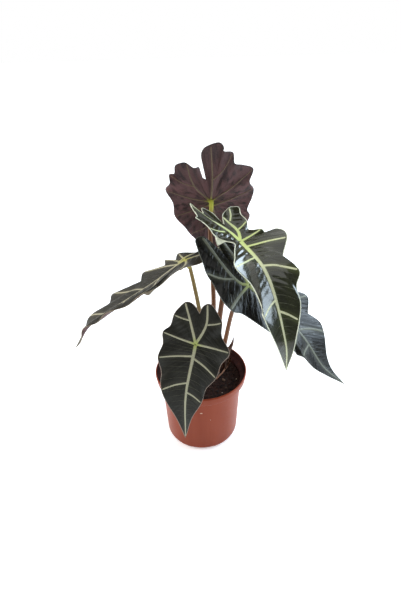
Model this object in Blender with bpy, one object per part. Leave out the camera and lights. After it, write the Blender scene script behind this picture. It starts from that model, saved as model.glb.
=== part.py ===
"""Potted alocasia: five dark arrow-shaped leaves on long stalks, growing from one corm in a
12 cm plastic nursery pot of soil.

Every length below is in millimetres and is scaled to metres as a mesh is made. The frame has its
origin at the middle of the pot's underside, +Z up, with the front of the plant towards -Y.

A leaf is drawn flat first: s runs along its midrib (0 where the stalk joins, positive towards the
tip, negative into the two rear lobes) and t runs across it. The flat leaf is then laid along a
curved midrib that stands in space.
"""

import bisect
import math

import bmesh
import bpy
from mathutils import Vector

MM = 0.001
GAP = 0.3

# Pot, as radius and height. Five feet stand on the ground, with a notch between each two.
POT_SEGMENTS = 40
POT_HEIGHT = 102.0
RIM_RADIUS = 61.0
RIM_BAND = 12.0
RIM_WALL = 1.6
BODY_TOP_RADIUS = 53.6
BASE_RADIUS = 49.3
WALL = 1.2
FLOOR_UNDERSIDE = 3.0
FLOOR_TOP = 4.4
PAD_RADIUS = 10.0
FOOT_WIDTH = 4.0
FOOT_COUNT = 5
FOOT_SEGMENTS = 4
NOTCH_DEPTH = 2.4
DRAIN_RADIUS = 4.0
DRAIN_CIRCLE = 26.0

# Soil and the corm that sits in it
SOIL_EDGE = 88.0
SOIL_CROWN = 2.0
CORM_CENTRE = (13.5, 6.0)
CORM_PROFILE = ((9.0, 60.0), (13.0, 68.0), (14.5, 78.0), (14.0, 88.0), (13.0, 92.0))
CORM_SEGMENTS = 16

# Leaves
BLADE_HALF_THICKNESS = 0.5
BLADE_RINGS = (0.3, 0.55, 0.8, 1.0)
EDGE_STEPS = 1
RUFFLE = 2.2
TIP_VALLEY = 0.03
SLIT = 0.5
STALK_SIDES = 10
STALK_BASE_Z = CORM_PROFILE[-1][1] + GAP
STALK_CLEARANCE = 1.0

# Each leaf has the points of its midrib (rear lobes, stalk joint, ..., tip), the way its upper
# face looks at each of them, and how far each half folds up, in degrees (left, right).
# left and right list the margin as (s, t), from the notch between the lobes to the tip. A plain
# pair is a bulge, "dip" marks a valley and "round" a point between the two. Two bulges in a row
# get a valley between them, valley times their distance deep.
# stalk lists the points of the stalk above the corm, and widths its radii at both ends.
LEAVES = {
    "front": {
        "rib": ((3, -36, 233), (-5, -58, 185), (-17.5, -83, 133), (-20, -97, 79)),
        "face": ((0, -0.8, 0.6), (0, -0.85, 0.5), (0.05, -0.9, 0.45), (0.05, -0.9, 0.4)),
        "fold": (0, 0),
        "notch": -35,
        "valley": 0.06,
        "left": (
            (-43, -3, "round"),
            (-47, -8),
            (-45, -14, "round"),
            (-36, -21, "round"),
            (-28, -26),
            (-12, -28, "dip"),
            (3, -39),
            (33, -30),
            (68, -18),
        ),
        "right": (
            (-42, 5, "round"),
            (-46, 11, "round"),
            (-46, 17),
            (-38, 24, "round"),
            (-31, 28),
            (-17, 31, "dip"),
            (-9, 38),
            (23, 38.5),
            (56, 28),
            (86, 11, "round"),
        ),
        "tip": 115,
        "stalk": ((8, -3), (7, -14, 140), (2, -34, 178)),
        "widths": (3.4, 2.2),
    },
    "left": {
        "rib": (
            (23, 28, 265),
            (-14, 0, 262),
            (-54, -18, 241),
            (-101, -39, 220),
            (-126, -46, 204),
            (-143, -50, 178),
        ),
        "face": (
            (0, 0.26, 1),
            (0, 0.26, 1),
            (-0.3, 0.26, 1),
            (-0.4, 0.26, 0.9),
            (-0.6, 0.2, 0.8),
            (-0.9, 0, 0.5),
        ),
        "fold": (4, 8),
        "notch": -26,
        "valley": 0.08,
        "left": (
            (-36, -4, "round"),
            (-42, -13),
            (-24, -28),
            (16, -38),
            (42, -29, "dip"),
            (66, -40),
            (84, -30, "dip"),
            (104, -27),
            (134, -12),
        ),
        "right": (
            (-36, 4, "round"),
            (-37, 9),
            (-24, 11, "dip"),
            (-2, 19),
            (7, 20, "dip"),
            (17, 30),
            (25, 28, "dip"),
            (46, 45),
            (60, 31, "dip"),
            (91, 43),
            (104, 34, "dip"),
            (134, 24),
        ),
        "tip": 166,
        "stalk": ((5, 10), (4, 9, 150), (-1, 6, 198), (-9, 1, 250)),
        "widths": (3.4, 2.2),
    },
    "back": {
        "rib": ((6, 20, 372), (17, 38, 318), (30, 47, 268), (48, 38, 226), (60, 18, 196)),
        "face": ((0, 1, 0.3), (0, 1, 0.2), (0, 1, 0.1), (0, 1, 0), (0, 1, -0.3)),
        "fold": (0, 0),
        "notch": -29,
        "valley": 0.13,
        "left": (
            (-34, -4, "round"),
            (-45, -4.5, "round"),
            (-48, -10, "dip"),
            (-53, -17),
            (-55, -23, "round"),
            (-53, -29, "round"),
            (-46, -31.5, "dip"),
            (-43, -38),
            (-35, -39.5, "dip"),
            (-25, -47),
            (-10, -42.5, "dip"),
            (10, -46),
            (24, -38, "dip"),
            (37, -35),
            (72, -24),
            (104, -10),
        ),
        "right": (
            (-46, 0.5, "round"),
            (-59, 1, "round"),
            (-66, 5, "round"),
            (-68, 13),
            (-69, 22, "round"),
            (-64, 25.5, "round"),
            (-60, 25, "dip"),
            (-54, 34),
            (-44, 34, "dip"),
            (-38, 43, "round"),
            (-30, 53),
            (-17, 47, "dip"),
            (-3, 50.5),
            (7, 47, "round"),
            (20, 39, "dip"),
            (34, 40),
            (70, 26),
            (104, 11),
        ),
        "tip": 138,
        "stalk": ((12, 14.5), (18, 18, 174), (18, 26, 221), (15.5, 33, 280)),
        "widths": (3.6, 2.4),
    },
    "right": {
        "rib": ((8, 24, 320), (45, -33, 297), (66, -84, 283), (80, -120, 234), (84, -122, 197)),
        "face": (
            (0.2, -0.3, 1),
            (0, -0.4, 1),
            (0.1, -0.7, 0.8),
            (0.2, -0.9, 0.5),
            (0.2, -1, 0.1),
        ),
        "fold": (18, 18),
        "notch": -31,
        "valley": 0.05,
        "left": (
            (-40, -4),
            (-45, -10, "round"),
            (-46, -17),
            (-45, -22, "round"),
            (-40, -26, "round"),
            (-30, -21.5, "round"),
            (-17, -19.5),
            (-9, -17, "dip"),
            (3, -24),
            (8, -27, "dip"),
            (12, -35, "round"),
            (21, -40, "round"),
            (32, -36),
            (42, -25.5, "dip"),
            (50, -23, "round"),
            (64, -28.5),
            (75, -23, "dip"),
            (91, -21, "round"),
            (106, -15.5),
            (127, -8, "round"),
        ),
        "right": (
            (-40, 1, "round"),
            (-54, 2, "round"),
            (-62, 9, "round"),
            (-56, 12, "dip"),
            (-67, 23),
            (-52, 23, "dip"),
            (-45, 30, "round"),
            (-37, 25.5, "round"),
            (-26, 25),
            (-14, 24, "round"),
            (-6, 12, "dip"),
            (3, 9, "round"),
            (15, 15.5, "round"),
            (30, 22.5, "round"),
            (47, 30),
            (62, 20.5, "dip"),
            (86, 17.5, "round"),
            (97, 18.5),
            (126, 10, "round"),
        ),
        "tip": 157,
        "stalk": ((14, 2), (24, 4, 169), (32.5, 7, 226), (46, 5, 261), (57, -5, 280)),
        "widths": (4.0, 2.5),
    },
    "side": {
        "rib": (
            (16, -3, 289),
            (54, -44, 251),
            (107, -67, 205),
            (134, -82, 168),
            (159, -86, 146),
        ),
        "face": (
            (0.1, -0.4, 1),
            (0, -0.3, 1),
            (0.3, -0.4, 1),
            (0.5, -0.5, 0.8),
            (0.6, -0.4, 0.8),
        ),
        "fold": (0, 0),
        "notch": -46,
        "valley": 0.08,
        "left": (
            (-60, -2, "round"),
            (-68, -8),
            (-69, -15, "round"),
            (-58, -20, "round"),
            (-46, -19, "dip"),
            (-12, -37),
            (22, -42),
            (62, -48),
            (74, -31.5, "dip"),
            (85, -35, "round"),
            (95, -29),
            (116, -17, "round"),
            (137, -5, "round"),
        ),
        "right": (
            (-68, 5, "round"),
            (-74, 10),
            (-75, 17, "round"),
            (-67, 21.5, "round"),
            (-46, 26, "dip"),
            (-33, 32),
            (-20, 31.5, "dip"),
            (5, 40),
            (16, 31, "dip"),
            (43, 31),
            (84, 25),
            (96, 19),
            (112, 13.5, "round"),
            (130, 6, "round"),
        ),
        "tip": 156,
        "stalk": ((21, 5.5), (31, -2, 141), (39.5, -20, 205)),
        "widths": (3.4, 2.2),
    },
}

# Withered sheath beside the stalks, and the dead stalk that lies across the soil
SHEATH = ((31, 13, 90.5), (33, 12, 108), (38, 9, 125), (42, 8, 136), (44, 8, 146))
SHEATH_WIDTHS = (2.6, 0.8)
DEAD_STALK = ((20, -11, 91.8), (31, 5, 91.4), (39, 21, 91), (43, 31, 93.6))
DEAD_STALK_WIDTHS = (1.2, 0.9)


def smooth(points, steps):
    """Points of the Catmull-Rom curve through the given ones."""
    knots = [Vector(p) for p in points]
    knots = [2 * knots[0] - knots[1]] + knots + [2 * knots[-1] - knots[-2]]
    curve = []
    for a, b, c, d in zip(knots, knots[1:], knots[2:], knots[3:]):
        for step in range(steps):
            u = step / steps
            curve.append(
                b
                + 0.5 * u * (c - a)
                + 0.5 * u * u * (2 * a - 5 * b + 4 * c - d)
                + 0.5 * u * u * u * (3 * b - a - 3 * c + d)
            )
    curve.append(knots[-2])
    return curve


class Rib:
    """A midrib in space, looked up by distance s from the stalk joint."""

    STEPS = 24

    def __init__(self, leaf):
        self.points = smooth(leaf["rib"], self.STEPS)
        self.faces = [Vector(f) for f in leaf["face"]]
        self.along = [0.0]
        for a, b in zip(self.points, self.points[1:]):
            self.along.append(self.along[-1] + (b - a).length)
        joint = self.along[self.STEPS]
        self.along = [value - joint for value in self.along]

    def frame(self, s):
        """The midrib's point at s, its direction, its upper side and its right-hand side."""
        inside = min(max(s, self.along[0]), self.along[-1])
        i = min(max(bisect.bisect_right(self.along, inside) - 1, 0), len(self.points) - 2)
        u = (inside - self.along[i]) / (self.along[i + 1] - self.along[i])
        low = max(i - 1, 0)
        high = min(i + 2, len(self.points) - 1)
        direction = (self.points[high] - self.points[low]).normalized()
        point = self.points[i].lerp(self.points[i + 1], u) + direction * (s - inside)
        knot = min((i + u) / self.STEPS, len(self.faces) - 1.001)
        upper = self.faces[int(knot)].lerp(self.faces[int(knot) + 1], knot - int(knot))
        upper = (upper - direction * upper.dot(direction)).normalized()
        return point, direction, upper, direction.cross(upper)


def margin(leaf, side, steps):
    """The edge of one half of a leaf, from the notch to the tip, as (s, t, ruffle height)."""
    sign = 1 if side == "right" else -1
    corners = [(leaf["notch"], 0, 0)]
    bulge = False
    for s, t, *kind in (*leaf[side], (leaf["tip"], 0)):
        if bulge and not kind:
            start = Vector(corners[-1][:2])
            chord = Vector((s, t)) - start
            middle = start + chord / 2
            inward = Vector((-chord.y, chord.x))
            if inward.dot(middle) > 0:
                inward = -inward
            middle += inward * (TIP_VALLEY if t == 0 else leaf["valley"])
            corners.append((middle.x, middle.y, -1))
        bulge = not kind
        wave = {"dip": -1, "round": 0.3}[kind[0]] if kind else 1
        corners.append((s, t, wave if t else 0))
    edge = smooth(corners, steps)
    for point in edge[1:-1]:
        if sign * point.y < SLIT:
            point.y = sign * SLIT
    return edge


def blade_point(leaf, rib, s, t, height):
    """The flat leaf's (s, t) on the blade's middle surface in space."""
    point, _, upper, across = rib.frame(s)
    fold = math.radians(leaf["fold"][0 if t < 0 else 1])
    return point + across * t * math.cos(fold) + upper * (abs(t) * math.sin(fold) + height)


def material(name, colour, roughness):
    """A plain Principled material."""
    made = bpy.data.materials.new(name)
    made.use_nodes = True
    shader = made.node_tree.nodes["Principled BSDF"]
    shader.inputs["Base Color"].default_value = (*colour, 1)
    shader.inputs["Roughness"].default_value = roughness
    shader.inputs["Metallic"].default_value = 0.0
    made.diffuse_color = (*colour, 1)
    return made


def solid(name, points, faces, look):
    """A closed mesh from points in millimetres, triangulated and facing outwards."""
    mesh = bmesh.new()
    made = [mesh.verts.new(Vector(p) * MM) for p in points]
    for face in faces:
        mesh.faces.new([made[i] for i in face])
    bmesh.ops.recalc_face_normals(mesh, faces=mesh.faces)
    bmesh.ops.triangulate(mesh, faces=mesh.faces)
    data = bpy.data.meshes.new(name)
    mesh.to_mesh(data)
    mesh.free()
    data.materials.append(look)
    thing = bpy.data.objects.new(name, data)
    bpy.context.scene.collection.objects.link(thing)
    return thing


def lathe(name, profile, segments, centre, look, shift=None):
    """A solid of revolution: profile runs from the axis at the bottom to the axis at the top."""
    points = []
    for k in range(segments):
        angle = 2 * math.pi * k / segments
        for i, (radius, z) in enumerate(profile):
            rise = shift(i, k) if shift else 0
            x = centre[0] + radius * math.cos(angle)
            y = centre[1] + radius * math.sin(angle)
            points.append((x, y, z + rise))
    count = len(profile)
    bottom = len(points)
    top = bottom + 1
    points.append((*centre, profile[0][1]))
    points.append((*centre, profile[-1][1]))
    faces = []
    for k in range(segments):
        here = k * count
        there = (k + 1) % segments * count
        for i in range(count - 1):
            faces.append((here + i, there + i, there + i + 1, here + i + 1))
        faces.append((bottom, there, here))
        faces.append((top, here + count - 1, there + count - 1))
    return solid(name, points, faces, look)


def cut(target, cutter):
    """Takes cutter out of target, and keeps cutter as a hidden helper."""
    cutter.hide_render = True
    cutter.display_type = "WIRE"
    boolean = target.modifiers.new(cutter.name, "BOOLEAN")
    boolean.operation = "DIFFERENCE"
    boolean.object = cutter


def apply_cuts(target, cutters):
    """Bakes target's Boolean modifiers and removes their cutters."""
    graph = bpy.context.evaluated_depsgraph_get()
    baked = bpy.data.meshes.new_from_object(target.evaluated_get(graph))
    target.modifiers.clear()
    target.data = baked
    for cutter in cutters:
        bpy.data.objects.remove(cutter)


def tube(name, path, radii, sides, look, end=None):
    """A tapering round bar along path. end gives the plane of its last ring, as a normal."""
    points = []
    side = Vector((1, 0, 0))
    last = len(path) - 1
    for i, centre in enumerate(path):
        direction = (path[min(i + 1, last)] - path[max(i - 1, 0)]).normalized()
        if i == 0:
            direction = Vector((0, 0, 1)) if end else direction
        if i == last and end:
            direction = end
        side = (side - direction * side.dot(direction)).normalized()
        other = direction.cross(side)
        radius = radii[0] + (radii[1] - radii[0]) * i / last
        for k in range(sides):
            angle = 2 * math.pi * k / sides
            points.append(centre + (side * math.cos(angle) + other * math.sin(angle)) * radius)
    faces = [tuple(reversed(range(sides))), tuple(range(last * sides, (last + 1) * sides))]
    for i in range(last):
        for k in range(sides):
            n = (k + 1) % sides
            low = i * sides
            faces.append((low + k, low + n, low + sides + n, low + sides + k))
    return solid(name, points, faces, look)


def pot(look):
    """The nursery pot: feet, raised floor with drain holes, flared wall and stepped rim."""
    body_top = POT_HEIGHT - RIM_BAND
    foot_outer = BASE_RADIUS - 1.5
    foot_inner = foot_outer - FOOT_WIDTH
    profile = (
        (PAD_RADIUS, 0),
        (PAD_RADIUS + 1, FLOOR_UNDERSIDE),
        (foot_inner - 1, FLOOR_UNDERSIDE),
        (foot_inner, 0),
        (foot_outer, 0),
        (BASE_RADIUS, 4),
        (BODY_TOP_RADIUS, body_top),
        (RIM_RADIUS - 1.4, body_top + 0.8),
        (RIM_RADIUS, POT_HEIGHT - 0.6),
        (RIM_RADIUS - 0.6, POT_HEIGHT),
        (RIM_RADIUS - RIM_WALL, POT_HEIGHT),
        (RIM_RADIUS - RIM_WALL - 1.2, body_top + 2.2),
        (BODY_TOP_RADIUS - WALL, body_top + 0.6),
        (BASE_RADIUS - WALL, 7),
        (BASE_RADIUS - WALL - 2, FLOOR_TOP),
    )
    foot_ring = (3, 4)
    per_foot = POT_SEGMENTS // FOOT_COUNT

    def notch(i, k):
        standing = (k + POT_SEGMENTS // 4 - per_foot // 4) % per_foot < FOOT_SEGMENTS
        return NOTCH_DEPTH if i in foot_ring and not standing else 0

    made = lathe("pot", profile, POT_SEGMENTS, (0, 0), look, notch)
    cutters = []
    for k in range(FOOT_COUNT):
        angle = 2 * math.pi * (k + 0.25) / FOOT_COUNT
        centre = (DRAIN_CIRCLE * math.cos(angle), DRAIN_CIRCLE * math.sin(angle))
        drill = ((DRAIN_RADIUS, -5), (DRAIN_RADIUS, 12))
        cutters.append(lathe(f"drain_cutter_{k}", drill, 14, centre, look))
        cut(made, cutters[-1])
    apply_cuts(made, cutters)
    return made


def soil(look):
    """The root ball of soil, with a pocket that the corm sits in."""
    wall_slope = (BODY_TOP_RADIUS - BASE_RADIUS) / (POT_HEIGHT - RIM_BAND)
    floor = FLOOR_TOP + GAP
    lower = BASE_RADIUS - WALL - 2 - GAP
    upper = BASE_RADIUS - WALL - 2 * GAP + wall_slope * SOIL_EDGE
    profile = (
        (lower, floor),
        (BASE_RADIUS - WALL - 2 * GAP, 8),
        (upper, SOIL_EDGE),
        (upper * 0.75, SOIL_EDGE + 1.2),
        (upper * 0.45, SOIL_EDGE + SOIL_CROWN),
    )
    made = lathe("soil", profile, POT_SEGMENTS, (0, 0), look)
    pocket = [(radius + GAP, z) for radius, z in CORM_PROFILE]
    pocket.insert(0, (CORM_PROFILE[0][0] - 2, CORM_PROFILE[0][1] - GAP))
    pocket.append((pocket[-1][0], SOIL_EDGE + 20))
    cutter = lathe("corm_cutter", pocket, CORM_SEGMENTS, CORM_CENTRE, look)
    cut(made, cutter)
    apply_cuts(made, [cutter])
    return made


def blade(name, leaf, rib, look):
    """A leaf blade: rings from the stalk joint out to the margin, upper and lower side."""
    right = margin(leaf, "right", EDGE_STEPS)
    left = margin(leaf, "left", EDGE_STEPS)
    edge = right + list(reversed(left[1:-1]))
    count = len(edge)
    points = []
    for half in (BLADE_HALF_THICKNESS, -BLADE_HALF_THICKNESS):
        points.append(blade_point(leaf, rib, 0, 0, half))
        for ring in BLADE_RINGS:
            for s, t, wave in edge:
                height = half + RUFFLE * wave * ring**3
                points.append(blade_point(leaf, rib, s * ring, t * ring, height))
    lower = 1 + count * len(BLADE_RINGS)
    faces = []
    for k in range(count):
        n = (k + 1) % count
        for start in (0, lower):
            faces.append((start, start + 1 + k, start + 1 + n))
            for r in range(len(BLADE_RINGS) - 1):
                a = start + 1 + r * count
                b = a + count
                faces.append((a + k, b + k, b + n, a + n))
        rim = lower - count
        faces.append((rim + k, rim + lower + k, rim + lower + n, rim + n))
    return solid(name, points, faces, look)


def stalk(name, leaf, rib, look):
    """A leaf stalk, from the top of the corm to just under the blade."""
    joint, _, upper, _ = rib.frame(0)
    base = (*leaf["stalk"][0], STALK_BASE_Z)
    approach = joint - upper * 9
    stop = joint - upper * STALK_CLEARANCE
    path = smooth([base, *leaf["stalk"][1:], approach, stop], 4)
    return tube(name, path, leaf["widths"], STALK_SIDES, look, upper)


def clear_scene():
    for thing in list(bpy.data.objects):
        bpy.data.objects.remove(thing)


def main():
    clear_scene()
    plastic = material("terracotta_plastic", (0.28, 0.065, 0.04), 0.4)
    peat = material("peat", (0.02, 0.012, 0.01), 0.95)
    bark = material("corm_bark", (0.08, 0.05, 0.03), 0.8)
    green_stalk = material("olive_stalk", (0.2, 0.15, 0.07), 0.5)
    brown_stalk = material("brown_stalk", (0.16, 0.08, 0.05), 0.5)
    dark_leaf = material("dark_leaf", (0.02, 0.03, 0.018), 0.35)
    dry = material("withered", (0.1, 0.045, 0.025), 0.85)

    pot(plastic)
    soil(peat)
    profile = [(CORM_PROFILE[0][0] - 3, CORM_PROFILE[0][1])] + list(CORM_PROFILE)
    lathe("corm", profile, CORM_SEGMENTS, CORM_CENTRE, bark)
    for name, leaf in LEAVES.items():
        rib = Rib(leaf)
        stalk_look = green_stalk if name == "left" else brown_stalk
        stalk(f"stalk_{name}", leaf, rib, stalk_look)
        blade(f"blade_{name}", leaf, rib, dark_leaf)
    tube("dry_sheath", smooth(SHEATH, 3), SHEATH_WIDTHS, 8, dry)
    tube("dead_stalk", smooth(DEAD_STALK, 3), DEAD_STALK_WIDTHS, 6, dry)


main()
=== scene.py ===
"""Looks of the potted alocasia: leaves, stalks, corm, soil and pot, with their materials.

Lengths are in millimetres, and piece() scales a finished mesh to metres. A leaf is drawn flat
first: s runs along its midrib, 0 at the stalk and positive towards the tip, and t runs across.
"""

import math
import random

import bmesh
import bpy
import numpy as np
from mathutils import Matrix, Vector, noise


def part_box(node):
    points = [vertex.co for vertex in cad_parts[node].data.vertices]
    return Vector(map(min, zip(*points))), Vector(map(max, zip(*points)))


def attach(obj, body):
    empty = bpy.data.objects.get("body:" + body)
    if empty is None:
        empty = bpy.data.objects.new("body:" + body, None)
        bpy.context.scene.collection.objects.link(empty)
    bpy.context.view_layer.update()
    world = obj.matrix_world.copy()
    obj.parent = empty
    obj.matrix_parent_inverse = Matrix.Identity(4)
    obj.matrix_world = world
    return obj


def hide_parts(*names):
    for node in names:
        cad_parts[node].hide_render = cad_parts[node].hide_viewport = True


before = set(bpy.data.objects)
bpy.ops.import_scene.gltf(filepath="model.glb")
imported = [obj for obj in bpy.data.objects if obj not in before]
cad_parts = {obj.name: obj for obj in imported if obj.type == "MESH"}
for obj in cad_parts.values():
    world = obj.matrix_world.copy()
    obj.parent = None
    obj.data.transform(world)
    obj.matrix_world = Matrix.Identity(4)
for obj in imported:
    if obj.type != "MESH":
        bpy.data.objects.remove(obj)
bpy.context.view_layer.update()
MM = 0.001
WELD = 0.002

# Camera: place, downward tilt and roll, and focal length in picture heights
CAMERA_PLACE = (0.0019, -0.437, 0.467)
CAMERA_TILT = 30.7
CAMERA_ROLL = -1.5
FOCAL_LENGTH = 0.6955
SENSOR = 36.0

# Lights: the overhead one has its width and tilt in degrees, and each panel its place, size,
# power and colour. All panels face LIGHT_AIM.
SKY_LIGHT = 0.16
SKY_COLOUR = (0.96, 0.98, 1.0, 1)
FLOOR_GLOW = 0.42
OVERHEAD = 2.45
OVERHEAD_WIDTH = 100
OVERHEAD_TILT = (-18, -20)
LIGHT_AIM = (0.02, -0.03, 0.2)
PANELS = {
    "window": ((1.23, 0.44, 0.82), (1.8, 0.6), 33.0, (0.72, 0.86, 1.0)),
    "left_panel": ((-1.2, 0.2, 0.5), (0.5, 0.9), 8.0, (1, 0.98, 0.95)),
}

# Material slots of a blade
UPPER, UNDER, RIM, RIBS, UNDER_RIBS, HAIRLINES = range(6)

# Leaves
SPAN_STEPS = 24
EDGE_STEPS = 9
BLADE_RINGS = 56
BLADE_THICKNESS = 0.7
KEEL = 2.5
RUFFLE = 2.2
TIP_VALLEY = 0.03
SLIT = 0.5
PANEL_SWELL = 1.0
PANEL_EDGE = 4.5
QUILT_PERIOD = 7.5
QUILT_LEAN = 0.8
VEIN_SPACING = 8.0
VEIN_REACH = 0.99
FINE_REACH = 0.93
FINE_WIDTHS = (0.5, 0.15)
VEIN_OFFSET = 0.05
RIB_RISE = 0.14
UNDER_RIB_RISE = 0.42
HAIRLINE_RISE = 0.25
VEIN_STEPS = 8
VEIN_STRIDE = 1.6
HALO = 1.9
HEART = 5.0
# Heights in millimetres between which painted shade darkens a leaf's underside
PAINTED_SHADE_HEIGHTS = (335.0, 380.0)
STALK_SIDES = 20
STALK_RINGS = 80
STALK_SINK = 1.5
STALK_BEND = 9
STALK_STOP = 0.2
END_TURN = 0.04

# Pot. A notch between two feet has its half width and its slope in degrees.
POT_STEPS = 180
BASE_RADIUS = 49.3
RIM_BAND = 12.0
RIM_STEP = 7.4
FLOOR_UNDERSIDE = 3.0
FLOOR_TOP = 4.4
FEET = 5
NOTCH_HALF_WIDTH = 17
NOTCH_SLOPE = 5
NOTCH_HEIGHT = 2.4
DRAIN_RADIUS = 4.0
DRAIN_CIRCLE = 26

# Soil, crumbs and corm. The crumbs come in this order: plain ones, chips, pale chips, grains.
SOIL_STEPS = 160
SOIL_TOP_RINGS = 60
SOIL_DROP = 2.0
SURFACE_DEPTH = 2.5
CHIPS_FROM = 330
PALE_FROM = 395
GRAINS_FROM = 408
CRUMB_COUNT = 420
CORM_STEPS = 72
CORM_RINGS = 40

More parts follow.
